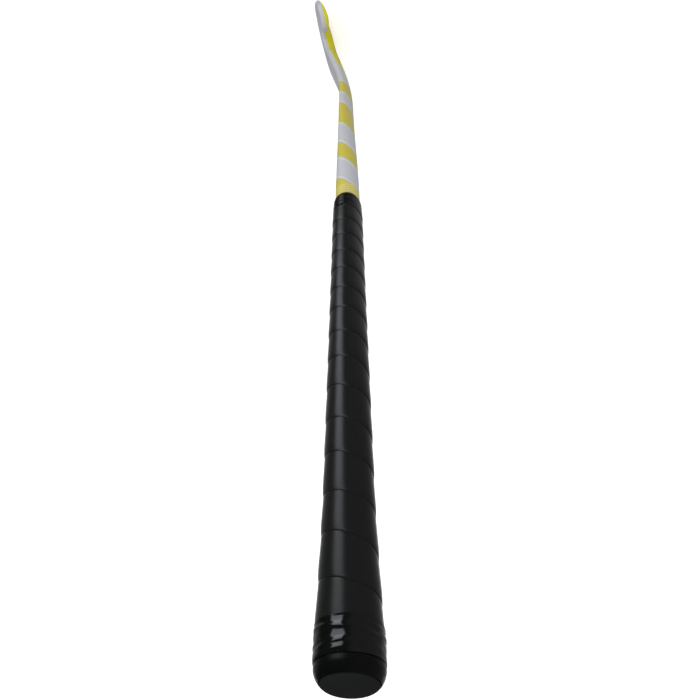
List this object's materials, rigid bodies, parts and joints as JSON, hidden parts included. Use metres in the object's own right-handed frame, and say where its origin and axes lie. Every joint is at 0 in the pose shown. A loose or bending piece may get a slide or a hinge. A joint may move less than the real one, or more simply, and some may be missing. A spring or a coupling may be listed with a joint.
{
  "type": "indoor hockey stick",
  "caption": "Slim composite hockey stick with a hooked head, a flat playing face on one side, a wound grip and a capped butt.",
  "frame": {"origin": "centre of the butt's end, on the crown of the end disc", "axes": "+Z out of the butt along the handle, so the stick hangs below the origin; +X the way the flat playing face looks; -Y the way the toe of the hook points"},
  "size_m": [0.0555, 0.1106, 0.9525],
  "materials": {
    "lacquered_laminate": "clear lacquer over a yellow and pale grey design",
    "core_foam": "closed-cell foam",
    "plug_plastic": "moulded",
    "cap_rubber": "satin",
    "disc_plastic": "satin",
    "collar_foam": "soft foam",
    "grip_rubber": "fine grain, tacky",
    "gloss_tape": "stretched gloss tape",
    "band_rubber": "satin"
  },
  "bodies": {
    "root": {"stick_body": "lacquered_laminate", "foam_core": "core_foam", "handle_plug": "plug_plastic", "butt_cap": "cap_rubber", "end_disc": "disc_plastic", "flare_collar": "collar_foam", "grip_tape": "grip_rubber", "anchor_band": "gloss_tape", "finishing_band": "band_rubber"}
  },
  "joints": []
}
